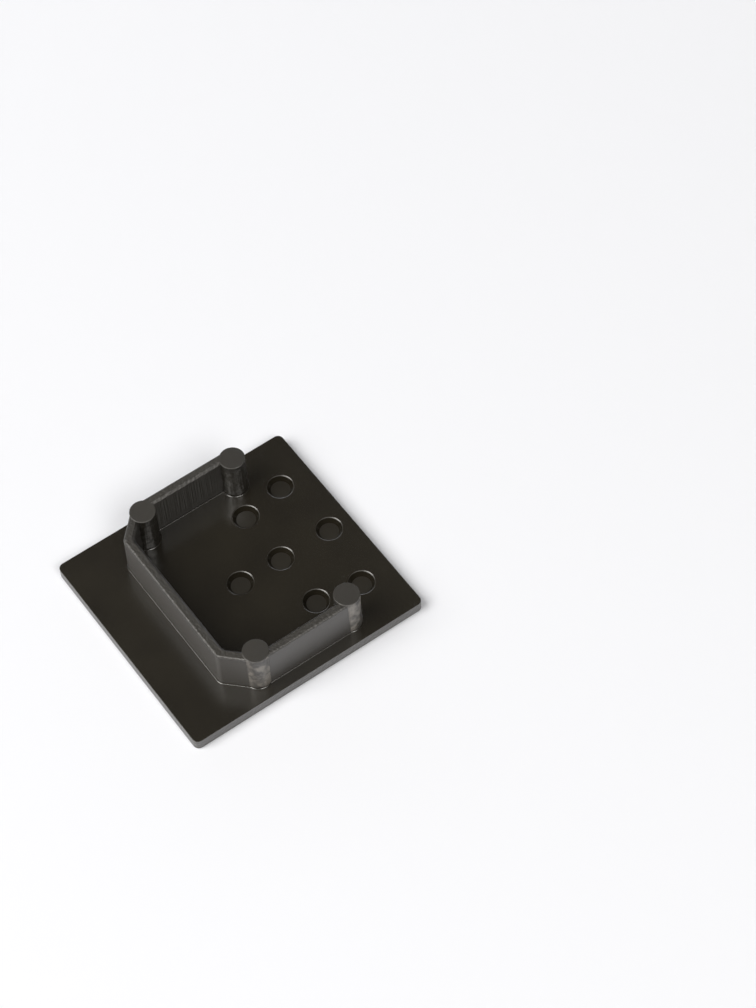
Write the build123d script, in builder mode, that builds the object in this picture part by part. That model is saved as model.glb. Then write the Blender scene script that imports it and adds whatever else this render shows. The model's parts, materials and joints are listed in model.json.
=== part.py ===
"""Profile end cap: flat cover plate, C-shaped locating rib and four press-in pins, one moulding."""
import math
import os

from build123d import *

os.makedirs("parts", exist_ok=True)

# ---- driving dimensions, millimetres and degrees ----
# The cover plate lies on its outer face at z = 0; the rib and the pins rise towards +Z.
plate_x = 30.0
plate_y = 28.0
plate_t = 1.55
plate_corner_r = 0.7
outer_edge_r = 0.2
inner_edge_r = 0.05

# The rib is open towards +X. Its plan is given at its foot, and the draft narrows it upwards.
# The margins are what the plate covers beside the arms and behind the back wall.
side_margin = 1.5
back_margin = 6.25
rib_h = 5.4
rib_t = 1.22
rib_draft = 0.6
rib_inner_bend_r = 0.9
rib_outer_bend_r = 0.9
rib_lead_in = 0.3
rib_top_r = 0.25

# The pins stand a little proud of the arms' outer faces, so that they bite when pressed in.
pin_r = 1.52
pin_h = 5.5
pin_draft = 0.5
pin_bite = 0.12
pin_open_margin = 8.0
pin_back_gap = 3.85
pin_top_bevel = 0.05

foot_r = 0.15

# Dimples: places ahead of the open pair of pins, and inwards of the two rows of pins.
dimple_rim_r = 1.6
dimple_rim_bevel = 0.12
dimple_rim_drop = 0.05
dimple_floor_r = 1.12
dimple_depth = 0.55
dimple_middle_ahead = (-6.83, -1.42, 5.14)
dimple_near_pair = (-1.42, 4.2)
dimple_far_pair = (3.96, 3.17)

# ---- derived sizes ----
rib_top_z = plate_t + rib_h
rib_half_y = plate_y / 2 - side_margin
rib_back_x = back_margin - plate_x / 2
pin_half_y = rib_half_y + pin_bite - pin_r
pin_open_x = plate_x / 2 - pin_open_margin
pin_back_x = rib_back_x + pin_back_gap
pin_top_radius = pin_r - pin_h * math.tan(math.radians(pin_draft))
pin_places = [(x, side * pin_half_y) for x in (pin_open_x, pin_back_x) for side in (1, -1)]
dimple_wall_r = dimple_rim_r - dimple_rim_bevel
dimple_places = [(pin_open_x + ahead, 0) for ahead in dimple_middle_ahead]
dimple_places += [
    (pin_open_x + ahead, side * (pin_half_y - inwards))
    for ahead, inwards in (dimple_near_pair, dimple_far_pair)
    for side in (1, -1)
]

# Each back corner of the rib is cut at 45 degrees, as far outside its pin as the arm is.
slant_reach = pin_half_y - pin_back_x + (rib_half_y - pin_half_y) * math.sqrt(2)


def rib_face_points(inset, open_x):
    """Plan corners of a rib face, set in from the outer one, from one open end to the other."""
    half_y = rib_half_y - inset
    back_x = rib_back_x + inset
    reach = slant_reach - inset * math.sqrt(2)
    upper = [(open_x, half_y), (half_y - reach, half_y), (back_x, reach + back_x)]
    return upper + [(x, -y) for x, y in reversed(upper)]


with BuildPart() as pin:
    # drafted pin on its rounded foot
    with BuildSketch(Plane.XZ) as pin_half_section:
        with BuildLine():
            Polyline((0, 0), (pin_r + foot_r, 0))
            Line((pin_r, foot_r), (pin_top_radius, pin_h))
            RadiusArc((pin_r + foot_r, 0), (pin_r, foot_r), foot_r)
            Polyline((pin_top_radius, pin_h), (0, pin_h), (0, 0))
        make_face()
    revolve(axis=Axis.Z)
    chamfer(pin.edges().group_by(Axis.Z)[-1], pin_top_bevel)

with BuildPart() as dimple:
    # what a dimple takes out: a bevelled rim, a sloping wall and a flat floor
    with BuildSketch(Plane.XZ) as dimple_half_section:
        with BuildLine():
            Polyline((0, 0), (dimple_rim_r, 0), (dimple_wall_r, -dimple_rim_drop))
            Polyline((dimple_wall_r, -dimple_rim_drop), (dimple_floor_r, -dimple_depth))
            Polyline((dimple_floor_r, -dimple_depth), (0, -dimple_depth), (0, 0))
        make_face()
    revolve(axis=Axis.Z)

with BuildPart() as end_cap:
    # cover plate, its outer face down
    with BuildSketch() as plate_plan:
        Rectangle(plate_x, plate_y)
        fillet(plate_plan.vertices(), plate_corner_r)
    extrude(amount=plate_t)
    fillet(end_cap.faces().sort_by(Axis.Z)[0].edges(), outer_edge_r)
    fillet(end_cap.faces().sort_by(Axis.Z)[-1].edges(), inner_edge_r)

    # locating rib: a drafted block, rounded along its top, ...
    with BuildSketch(Plane.XY.offset(plate_t)) as rib_block:
        Polygon(*rib_face_points(0, pin_open_x), align=None)
        fillet(rib_block.vertices().group_by(Axis.X)[0], rib_outer_bend_r)
    extrude(amount=rib_h, taper=rib_draft)
    rib_top = end_cap.faces().sort_by(Axis.Z)[-1]
    fillet(rib_top.edges().sort_by(Axis.X)[:-1], rib_top_r)

    # ... hollowed out through its open side
    with BuildSketch(Plane.XY.offset(rib_top_z)) as rib_bay:
        Polygon(*rib_face_points(rib_t, plate_x), align=None)
        fillet(rib_bay.vertices().group_by(Axis.X)[0], rib_inner_bend_r)
    extrude(amount=-rib_h, taper=rib_draft, mode=Mode.SUBTRACT)

    bay_rim = end_cap.edges(Select.LAST).group_by(Axis.Z)[-1]
    chamfer(bay_rim.filter_by_position(Axis.X, -plate_x, pin_open_x - rib_t), rib_lead_in)

    # rounded foot where the rib meets the plate
    deck = end_cap.faces().filter_by(Axis.Z).group_by(Axis.Z)[1][0]
    fillet(deck.inner_wires()[0].edges(), foot_r)

    # four press-in pins, two ending the arms and two inside the back corners
    with Locations(*[(x, y, plate_t) for x, y in pin_places]):
        add(pin.part)

    # shallow dimples in the plate's inner face
    with Locations(*[(x, y, plate_t) for x, y in dimple_places]):
        add(dimple.part, mode=Mode.SUBTRACT)

end_cap.part.label = "end_cap"
export_step(end_cap.part, "parts/end_cap.step")
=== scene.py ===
"""Finish, photo table, lamps and camera for a moulded profile end cap."""

import json
import math

import bmesh
import bpy
from bpy.props import FloatProperty, FloatVectorProperty, PointerProperty
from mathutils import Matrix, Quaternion, Vector


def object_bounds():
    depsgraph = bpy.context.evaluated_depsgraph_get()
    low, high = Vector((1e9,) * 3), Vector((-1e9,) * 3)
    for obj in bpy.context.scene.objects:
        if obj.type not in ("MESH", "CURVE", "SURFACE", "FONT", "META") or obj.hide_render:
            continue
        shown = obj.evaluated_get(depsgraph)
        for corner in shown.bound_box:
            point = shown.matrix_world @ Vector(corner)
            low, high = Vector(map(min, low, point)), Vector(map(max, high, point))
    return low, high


bl_info = {
    "name": "Profile End Cap",
    "version": (1, 0, 0),
    "blender": (4, 5, 0),
    "location": "View3D > Sidebar > End Cap",
    "description": "Finishes a moulded profile end cap and sets it on a lit photo table",
    "category": "Object",
}

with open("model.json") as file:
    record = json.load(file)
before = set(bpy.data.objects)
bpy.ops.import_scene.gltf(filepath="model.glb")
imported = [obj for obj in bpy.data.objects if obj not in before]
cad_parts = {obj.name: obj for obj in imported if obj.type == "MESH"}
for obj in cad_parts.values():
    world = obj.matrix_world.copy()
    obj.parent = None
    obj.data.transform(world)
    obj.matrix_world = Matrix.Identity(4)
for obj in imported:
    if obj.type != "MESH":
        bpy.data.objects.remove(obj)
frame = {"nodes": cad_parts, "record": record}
cad_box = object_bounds()

MM = 0.001

END_CAP = frame["nodes"]["end_cap"]
MOUNTS = {mount["name"]: mount for mount in frame["record"]["mounts"]}

# levels of the moulding above its outer face
DECK_Z = MOUNTS["profile_end_seat"]["pos_m"][2]
PIN_TOP_Z = cad_box[1].z
PIN_RISE = 0.1 * MM
RIB_TOP_Z = PIN_TOP_Z - PIN_RISE
LEVEL_TOLERANCE = 0.02 * MM

# how level a face is, 1 lying flat and 0 upright, from where a mask is off to where it is on
WALL_LEVELS = (0.5, 0.3)
STEEP_LEVELS = (0.9, 0.7)

# the four pins stand at the corners of a rectangle
PIN_MIDDLE_X = 1.05 * MM
PIN_HALF_X = 5.95 * MM
PIN_HALF_Y = 11.1 * MM
PIN_R = 1.52 * MM
# a pin's mask is whole this far out from its side, and gone at twice as far
PIN_FADE = 0.025 * MM

# planes just outside the rib's inner faces; a slant is where y, less x, comes to its value
BAY_HALF_Y = 11.5 * MM
BAY_BACK_X = -7.75 * MM
BAY_SLANT = 16.9 * MM
EDGE_FADE = 0.1 * MM

# the bay's gloss runs out between the open pins and here
BAY_OPEN_X = 14 * MM

# shares of their height at which the scuffed band and the outer grain have come in fully
RIM_FULL = 0.7
GRAIN_FULL = 0.6

# values of the noise between which the clouds and the painted highlight patches come in
CLOUD_NOISE = (0.35, 0.65)
PATCH_NOISE = (0.42, 0.6)

# squeezed along Z, so that noise is drawn out into lines
DRAW_SCALE = (1, 1, 0.02)

WHITE = (1, 1, 1, 1)

# a Mix node's sockets by number, because their names repeat
FACTOR, VALUE_A, VALUE_B, COLOUR_A, COLOUR_B = 0, 2, 3, 6, 7
COLOUR_RESULT = 2

# the screen stands just clear of the table
SCREEN_GAP = 1 * MM
SPIN_STEPS = 96
MERGE_DISTANCE = 0.01 * MM

# a full-frame camera
SENSOR_WIDTH = 36
CLIP_START = 10 * MM


def linear(hex_colour):
    """Turn an sRGB hex colour, such as "#1f1d1a", into linear red, green and blue."""
    parts = [int(hex_colour[i : i + 2], 16) / 255 for i in (1, 3, 5)]
    return tuple(p / 12.92 if p <= 0.04045 else ((p + 0.055) / 1.055) ** 2.4 for p in parts)


def add_node(tree, kind, values=None, **settings):
    """Add a shader node and return its outputs; a value is a constant or a socket to link."""
    node = tree.nodes.new("ShaderNode" + kind)
    for name, setting in settings.items():
        setattr(node, name, setting)
    for socket, value in (values or {}).items():
        if isinstance(value, bpy.types.NodeSocket):
            tree.links.new(value, node.inputs[socket])
        else:
            node.inputs[socket].default_value = value
    return node.outputs


def find_surfaces(tree, place, finish):
    """Masks that tell the moulding's kinds of surface apart by where they lie and face."""
    x, _, z = add_node(tree, "SeparateXYZ", {0: place["Object"]})
    away = add_node(tree, "VectorMath", {0: place["Object"]}, operation="ABSOLUTE")[0]
    side_y = add_node(tree, "SeparateXYZ", {0: away})["Y"]
    past_slant = add_node(tree, "Math", {0: side_y, 1: x}, operation="SUBTRACT")[0]
    facing = add_node(tree, "VectorMath", {0: place["Normal"]}, operation="ABSOLUTE")[0]
    level = add_node(tree, "SeparateXYZ", {0: facing})["Z"]

    # fold the four pins onto one and measure from its axis
    spot = place["Object"]
    for operation, value in (
        ("SUBTRACT", (PIN_MIDDLE_X, 0, 0)),
        ("ABSOLUTE", (0, 0, 0)),
        ("SUBTRACT", (PIN_HALF_X, PIN_HALF_Y, 0)),
        ("MULTIPLY", (1, 1, 0)),
    ):
        spot = add_node(tree, "VectorMath", {0: spot, 1: value}, operation=operation)[0]
    from_pin = add_node(tree, "VectorMath", {0: spot}, operation="LENGTH")["Value"]

    masks = {}
    for name, value, zero_at, one_at in (
        ("wall", level, *WALL_LEVELS),
        ("steep", level, *STEEP_LEVELS),
        ("raised", z, DECK_Z - LEVEL_TOLERANCE, DECK_Z),
        ("by_pin", from_pin, PIN_R + 2 * PIN_FADE, PIN_R + PIN_FADE),
        ("before_back", x, BAY_BACK_X - EDGE_FADE, BAY_BACK_X),
        ("behind_open", x, BAY_OPEN_X, PIN_MIDDLE_X + PIN_HALF_X),
        ("between_arms", side_y, BAY_HALF_Y + EDGE_FADE, BAY_HALF_Y),
        ("within_slants", past_slant, BAY_SLANT + EDGE_FADE, BAY_SLANT),
        ("top", z, RIB_TOP_Z - LEVEL_TOLERANCE, RIB_TOP_Z),
        ("by_rim", z, RIB_TOP_Z - finish.rim_band, RIB_TOP_Z - RIM_FULL * finish.rim_band),
        ("below_pin_top", z, PIN_TOP_Z, RIB_TOP_Z + LEVEL_TOLERANCE),
        ("sunk", z, DECK_Z, DECK_Z - LEVEL_TOLERANCE),
        ("outer_face", z, finish.grain_reach, GRAIN_FULL * finish.grain_reach),
    ):
        limits = {"Value": value, "From Min": zero_at, "From Max": one_at}
        masks[name] = add_node(tree, "MapRange", limits, interpolation_type="SMOOTHSTEP")[0]
    for name, first, second in (
        ("bay", "before_back", "behind_open"),
        ("bay", "bay", "between_arms"),
        ("bay", "bay", "within_slants"),
        ("bay_wall", "bay", "wall"),
        ("bay_wall", "bay_wall", "raised"),
        ("plate_side", "wall", "sunk"),
        ("dimple_wall", "steep", "sunk"),
        ("rib_rim", "by_rim", "below_pin_top"),
        ("pin_wall", "wall", "by_pin"),
        ("pin_side", "by_pin", "bay_wall"),
    ):
        factors = {0: masks[first], 1: masks[second]}
        masks[name] = add_node(tree, "Math", factors, operation="MULTIPLY")[0]
    for name, whole, part in (
        ("outer_wall", "wall", "bay_wall"),
        # the pins' sides outside the rib, where the highlights are painted
        ("outer_pin_side", "pin_wall", "pin_side"),
        ("dimple_slope", "dimple_wall", "plate_side"),
    ):
        factors = {0: masks[whole], 1: masks[part]}
        masks[name] = add_node(tree, "Math", factors, operation="SUBTRACT")[0]
    return masks


def plastic_relief(tree, place, surfaces, finish):
    """Relief of the grain, the draw lines, the scuffed rim and the blunt faces, in metres."""
    here = place["Object"]
    drawn = add_node(tree, "Mapping", {"Vector": here, "Scale": DRAW_SCALE})[0]
    height = 0
    # each kind of relief: its surface, where it is read, its pitch, its detail and its depth
    for surface, vector, pitch, detail, depth in (
        (None, here, finish.wave_pitch, 0, finish.wave_depth),
        ("outer_face", here, finish.grain_pitch, 3, finish.grain_depth),
        ("plate_side", here, finish.grain_pitch, 3, finish.side_grain_depth),
        ("bay_wall", drawn, finish.line_pitch, 2, finish.line_depth),
        ("pin_wall", here, finish.mottle_pitch, 1, finish.mottle_depth),
        ("rib_rim", here, finish.scuff_pitch, 2, finish.scuff_depth),
        ("top", here, finish.blunt_pitch, 1, finish.blunt_depth),
    ):
        lumps = {"Vector": vector, "Scale": 1 / pitch, "Detail": detail}
        lumps = add_node(tree, "TexNoise", lumps)[0]
        reach = {0: surfaces[surface] if surface else 1, 1: depth}
        reach = add_node(tree, "Math", reach, operation="MULTIPLY")[0]
        layers = {0: lumps, 1: reach, 2: height}
        height = add_node(tree, "Math", layers, operation="MULTIPLY_ADD")[0]
    return add_node(tree, "Bump", {"Height": height, "Distance": 1})[0]


def moulded_polyamide(finish):
    """Black polyamide, injection moulded.

    The pigment is a warm near-black, never quite even. The core side of the mould is polished, so
    the inner face shines softly, within the rib a little more so, and the dimples' slopes carry a
    painted shade: a grey tint dims their reflections into dark crescents. The drafted walls drag
    along the mould as it opens and end up silky, with fine upright draw lines within the rib; the
    walls outside the rib are painted a paler grey, a painted sheen for the white table they
    reflect. The pins' outer sides carry painted highlights as whitish patches, the tops are dull
    and the rib's rim is scuffed. The cavity side is spark-eroded and leaves a pebbled outer face.
    """
    material = bpy.data.materials.new("black_moulded_polyamide")
    material.use_nodes = True
    tree = material.node_tree
    shader = tree.nodes["Principled BSDF"]
    place = add_node(tree, "TexCoord")
    surfaces = find_surfaces(tree, place, finish)

    spread = {}
    for name, size, detail, (zero_at, one_at) in (
        ("clouds", finish.cloud_size, 3, CLOUD_NOISE),
        ("patches", finish.patch_size, 2, PATCH_NOISE),
    ):
        noise = {"Vector": place["Object"], "Scale": 1 / size, "Detail": detail}
        noise = add_node(tree, "TexNoise", noise)[0]
        limits = {"Value": noise, "From Min": zero_at, "From Max": one_at}
        spread[name] = add_node(tree, "MapRange", limits)[0]
    # painted highlight: patches on the pins' outer sides are whitened to stand in for their glints
    highlighted = {0: spread["patches"], 1: surfaces["outer_pin_side"]}
    highlighted = add_node(tree, "Math", highlighted, operation="MULTIPLY")[0]

    pigment = (*finish.plastic_colour, 1)
    for factor, colour_on_top in (
        (spread["clouds"], finish.cloud_colour),
        # painted sheen: the walls outside the rib are made paler, for the white table that they
        # reflect
        (surfaces["outer_wall"], finish.painted_sheen_colour),
        # painted highlight: whitish patches on the pins' outer sides, for their glints
        (highlighted, finish.painted_highlight_colour),
    ):
        mixed = {FACTOR: factor, COLOUR_A: pigment, COLOUR_B: (*colour_on_top, 1)}
        pigment = add_node(tree, "Mix", mixed, data_type="RGBA")[COLOUR_RESULT]

    # painted shade: a grey tint dims the reflections on the dimples' slopes into dark crescents, for
    # the dark of the dimple that they face
    mixed = {FACTOR: surfaces["dimple_slope"], COLOUR_A: WHITE, COLOUR_B: (*finish.slope_shade_tint, 1)}
    painted_slope_shade = add_node(tree, "Mix", mixed, data_type="RGBA")[COLOUR_RESULT]

    roughness = finish.polished
    for surface, value in (
        ("bay", finish.bay_floor),
        ("sunk", finish.dimple_floor),
        ("dimple_wall", finish.dimple_gloss),
        ("wall", finish.drafted),
        ("pin_side", finish.pin_gloss),
        ("rib_rim", finish.scuffed),
        ("top", finish.dull),
        ("plate_side", finish.grained),
        ("outer_face", finish.grained),
    ):
        mixed = {FACTOR: surfaces[surface], VALUE_A: roughness, VALUE_B: value}
        roughness = add_node(tree, "Mix", mixed)[0]

    tree.links.new(pigment, shader.inputs["Base Color"])
    tree.links.new(roughness, shader.inputs["Roughness"])
    tree.links.new(painted_slope_shade, shader.inputs["Specular Tint"])
    tree.links.new(plastic_relief(tree, place, surfaces, finish), shader.inputs["Normal"])
    shader.inputs["IOR"].default_value = finish.ior
    shader.inputs["Specular IOR Level"].default_value = finish.shine
    return material


def matt_card(name, colour):
    """White photo card, matt all over, so that it shows the cap's shadow and no glare."""
    material = bpy.data.materials.new(name)
    material.use_nodes = True
    shader = material.node_tree.nodes["Principled BSDF"]
    shader.inputs["Base Color"].default_value = (*colour, 1)
    shader.inputs["Roughness"].default_value = 1
    shader.inputs["Specular IOR Level"].default_value = 0
    return material


def direction(azimuth, elevation):
    """Way from the cap to a lamp or camera; azimuth 0 stands in front, on the -Y side."""
    level = math.cos(elevation)
    return Vector((math.sin(azimuth) * level, -math.cos(azimuth) * level, math.sin(elevation)))


def spin_card(name, profile, start, sweep, steps, material):
    """Spin a profile of radius and height about the cap's middle and add it to the stage."""
    bm = bmesh.new()
    front = direction(start, 0)
    verts = [bm.verts.new((front.x * r, front.y * r, z)) for r, z in profile]
    edge = bm.edges.new(verts)
    # only a full turn closes on itself
    full_turn = sweep == math.tau
    bmesh.ops.spin(
        bm, geom=[*verts, edge], axis=(0, 0, 1), angle=sweep, steps=steps, use_merge=full_turn
    )
    bmesh.ops.remove_doubles(bm, verts=bm.verts, dist=MERGE_DISTANCE)
    bmesh.ops.recalc_face_normals(bm, faces=bm.faces)
    for face in bm.faces:
        face.smooth = True
    mesh = bpy.data.meshes.new(name)
    bm.to_mesh(mesh)
    bm.free()
    mesh.materials.append(material)
    card = bpy.data.objects.new(name, mesh)
    bpy.context.scene.collection.objects.link(card)


def length(name, description, default):
    """A length in metres that the sidebar shows in the scene's own units."""
    return FloatProperty(
        name=name, description=description, default=default, unit="LENGTH", precision=5
    )


def share(name, description, default):
    """A number from 0 to 1."""
    return FloatProperty(
        name=name, description=description, default=default, subtype="FACTOR", min=0, max=1
    )


def power(name, description, default):
    """A lamp's power in watts."""
    return FloatProperty(name=name, description=description, default=default, unit="POWER")


def angle(name, description, degrees):
    """An angle, given in degrees."""
    return FloatProperty(
        name=name, description=description, default=math.radians(degrees), subtype="ANGLE"
    )


def colour(name, description, hex_colour):
    """A colour given as an sRGB hex value."""
    return FloatVectorProperty(
        name=name, description=description, default=linear(hex_colour), subtype="COLOR", min=0, max=1
    )


class EndCapFinish(bpy.types.PropertyGroup):
    """Colours, gloss and relief of the moulded plastic."""

    plastic_colour: colour("Plastic", "Warm near-black of the moulding", "#1c1913")
    cloud_colour: colour("Cloud", "Slightly paler black that clouds it", "#221f18")
    # painted sheen: a paler grey for the walls outside the rib, for the white table that they
    # reflect
    painted_sheen_colour: colour("Dragged", "Black of the outer walls, greyed by the mould", "#3a3733")
    # painted highlight: whitish patches on the pins' outer sides, standing in for their glints
    painted_highlight_colour: colour("Rubbed", "Whitened plastic where the pins were rubbed", "#746f68")
    # painted shade: a grey tint that darkens the reflections on the dimples' slopes
    slope_shade_tint: colour("Slope tint", "Dimming of the reflections on the dimples' slopes", "#505050")
    cloud_size: length("Cloud size", "Distance between the clouds in the pigment", 6 * MM)
    patch_size: length("Patch size", "Distance between the whitened patches", 1.1 * MM)
    # polyamide has an index of about 1.53, and this one and the shine match the cap's gloss
    ior: FloatProperty(name="IOR", description="Index of refraction of the plastic", default=1.6)
    shine: share("Shine", "Strength of the plastic's reflections", 1)
    polished: share("Polished", "Roughness of the inner face", 0.26)
    bay_floor: share("Bay floor", "Roughness of the inner face within the rib", 0.22)
    dimple_floor: share("Dimple floor", "Roughness of the dimples", 0.33)
    dimple_gloss: share("Dimple gloss", "Roughness of the dimples' walls", 0.15)
    drafted: share("Drafted", "Roughness of the walls", 0.5)
    pin_gloss: share("Pin gloss", "Roughness of the pins' sides within the rib", 0.38)
    dull: share("Dull", "Roughness of the tops of the rib and the pins", 0.51)
    scuffed: share("Scuffed", "Roughness of the band along the rib's top", 0.48)
    grained: share("Grained", "Roughness of the outer face between its pebbles", 0.3)
    # Real pebbles, spots and nicks are a few hundredths of a millimetre deep, and real draw lines
    # lie about 0.05 mm apart. They are drawn deeper and coarser, because they would not show.
    grain_reach: length("Grain reach", "Height up to which the outer face's grain goes", 0.4 * MM)
    grain_pitch: length("Grain pitch", "Distance between the grain's pebbles", 0.3 * MM)
    grain_depth: length("Grain depth", "Height of the pebbles", 0.1 * MM)
    side_grain_depth: length("Side grain depth", "Height of the sides' pebbles", 0.12 * MM)
    line_pitch: length("Draw line pitch", "Distance between the draw lines in the bay", 0.2 * MM)
    line_depth: length("Draw line depth", "Depth of the draw lines", 0.06 * MM)
    mottle_pitch: length("Mottle pitch", "Distance between the spots on the pins' sides", 0.7 * MM)
    mottle_depth: length("Mottle depth", "Depth of those spots", 0.16 * MM)
    rim_band: length("Scuffed band", "Height of the scuffed band along the rib's top", 0.35 * MM)
    scuff_pitch: length("Scuff pitch", "Distance between the nicks along the rib's top", 0.3 * MM)
    scuff_depth: length("Scuff depth", "Depth of the nicks", 0.09 * MM)
    blunt_pitch: length("Blunt pitch", "Distance between the specks on the blunt faces", 0.12 * MM)
    blunt_depth: length("Blunt depth", "Height of the specks", 0.004 * MM)
    wave_pitch: length("Wave pitch", "Distance between the waves of the polished face", 2.5 * MM)
    wave_depth: length("Wave depth", "Height of those waves", 0.006 * MM)


class PhotoTable(bpy.types.PropertyGroup):
    """Table, lamps and camera round the cap."""

    card_colour: colour("Card", "White card of the table and the screen", "#f3f6fd")
    room_colour: colour("Room", "Dim warm room round the table", "#4c4944")
    radius: length("Radius", "Radius of the round table", 0.8)
    screen_radius: length("Screen radius", "From the cap to both ends of the screen", 0.55)
    screen_height: length("Screen height", "Height of the screen", 0.14)
    screen_start: angle("Screen start", "Azimuth of the screen's first end", 100)
    screen_sweep: angle("Screen sweep", "Turn from its first end to its other end", 110)
    lamp_colour: colour("Lamps", "Warm white of the two lamps", "#fffcf7")
    window_power: power("Window power", "Power of the wide lamp on the left", 17.2)
    window_size: length("Window size", "Side of the wide lamp", 0.95)
    window_azimuth: angle("Window azimuth", "Turn of the wide lamp", -100)
    window_elevation: angle("Window elevation", "Height of the wide lamp above the table", 50)
    softbox_power: power("Softbox power", "Power of the lamp in front", 7.2)
    softbox_size: length("Softbox size", "Side of the lamp in front", 0.58)
    softbox_azimuth: angle("Softbox azimuth", "Turn of the lamp in front", -4)
    softbox_elevation: angle("Softbox elevation", "Height of the lamp in front above the table", 49)
    lamp_distance: length("Lamp distance", "From the cap to each lamp", 1.3)
    focal_length: FloatProperty(
        name="Focal length", description="Focal length in millimetres", default=107, unit="CAMERA"
    )
    azimuth: angle("Azimuth", "Turn of the view", -32.54)
    elevation: angle("Elevation", "Dip of the view", 56.45)
    roll: angle("Roll", "Tilt of the camera", -3.53)
    distance: length("Distance", "From the camera to the table, along the view", 338 * MM)
    aim_x: length("Aim X", "Where the view's middle meets the table", 18.99 * MM)
    aim_y: length("Aim Y", "Where the view's middle meets the table", 0.28 * MM)


class FinishEndCap(bpy.types.Operator):
    """Give the end cap its moulded plastic"""

    bl_idname = "end_cap.finish"
    bl_label = "Finish End Cap"

    def execute(self, context):
        END_CAP.material_slots[0].material = moulded_polyamide(context.scene.end_cap_finish)
        return {"FINISHED"}


class SetPhotoTable(bpy.types.Operator):
    """Set the cap on a round white table with a low flat screen behind it"""

    bl_idname = "end_cap.photo_table"
    bl_label = "Set Photo Table"

    def execute(self, context):
        table = context.scene.end_cap_table
        card = matt_card("matt_white_card", table.card_colour)
        spin_card("photo_table", [(0, 0), (table.radius, 0)], 0, math.tau, SPIN_STEPS, card)
        foot = (table.screen_radius, SCREEN_GAP)
        top = (table.screen_radius, table.screen_height)
        # one step of the spin leaves the screen flat
        spin_card("photo_screen", [foot, top], table.screen_start, table.screen_sweep, 1, card)
        return {"FINISHED"}


class HangLamps(bpy.types.Operator):
    """Hang two lamps in a dim room"""

    bl_idname = "end_cap.lamps"
    bl_label = "Hang Lamps"

    def execute(self, context):
        table = context.scene.end_cap_table
        for name in ("window", "softbox"):
            data = bpy.data.lights.new(name, "AREA")
            data.size = getattr(table, name + "_size")
            data.energy = getattr(table, name + "_power")
            data.color = table.lamp_colour
            lamp = bpy.data.objects.new(name, data)
            outwards = direction(
                getattr(table, name + "_azimuth"), getattr(table, name + "_elevation")
            )
            lamp.location = outwards * table.lamp_distance
            lamp.rotation_mode = "QUATERNION"
            lamp.rotation_quaternion = outwards.to_track_quat("Z", "Y")
            context.scene.collection.objects.link(lamp)

        world = bpy.data.worlds.new("dim_room")
        world.use_nodes = True
        background = world.node_tree.nodes["Background"]
        background.inputs["Color"].default_value = (*table.room_colour, 1)
        context.scene.world = world
        return {"FINISHED"}


class PlaceCamera(bpy.types.Operator):
    """Look down on the cap through a long lens"""

    bl_idname = "end_cap.camera"
    bl_label = "Place Camera"

    def execute(self, context):
        table = context.scene.end_cap_table
        data = bpy.data.cameras.new("view_camera")
        data.sensor_width = SENSOR_WIDTH
        data.lens = table.focal_length
        data.clip_start = CLIP_START
        camera = bpy.data.objects.new("view_camera", data)
        backwards = direction(table.azimuth, table.elevation)
        camera.location = Vector((table.aim_x, table.aim_y, 0)) + backwards * table.distance
        camera.rotation_mode = "QUATERNION"
        tilt = Quaternion((0, 0, 1), table.roll)
        camera.rotation_quaternion = backwards.to_track_quat("Z", "Y") @ tilt
        context.scene.collection.objects.link(camera)
        context.scene.camera = camera
        context.scene.view_settings.view_transform = "Standard"
        return {"FINISHED"}


class EndCapPanel(bpy.types.Panel):
    """Sizes, colours and steps of the end cap's scene"""

    bl_idname = "VIEW3D_PT_end_cap"
    bl_label = "End Cap"
    bl_space_type = "VIEW_3D"
    bl_region_type = "UI"
    bl_category = "End Cap"

    def draw(self, context):
        layout = self.layout
        for group in (context.scene.end_cap_finish, context.scene.end_cap_table):
            box = layout.box()
            for name in group.__annotations__:
                box.prop(group, name)
        for operator in OPERATORS:
            layout.operator(operator.bl_idname)


OPERATORS = (FinishEndCap, SetPhotoTable, HangLamps, PlaceCamera)
CLASSES = (EndCapFinish, PhotoTable, *OPERATORS, EndCapPanel)


def register():
    for cls in CLASSES:
        bpy.utils.register_class(cls)
    bpy.types.Scene.end_cap_finish = PointerProperty(type=EndCapFinish)
    bpy.types.Scene.end_cap_table = PointerProperty(type=PhotoTable)


def unregister():
    del bpy.types.Scene.end_cap_table
    del bpy.types.Scene.end_cap_finish
    for cls in reversed(CLASSES):
        bpy.utils.unregister_class(cls)


def main():
    register()
    bpy.ops.end_cap.finish()
    bpy.ops.end_cap.photo_table()
    bpy.ops.end_cap.lamps()
    bpy.ops.end_cap.camera()


if __name__ == "__main__":
    main()
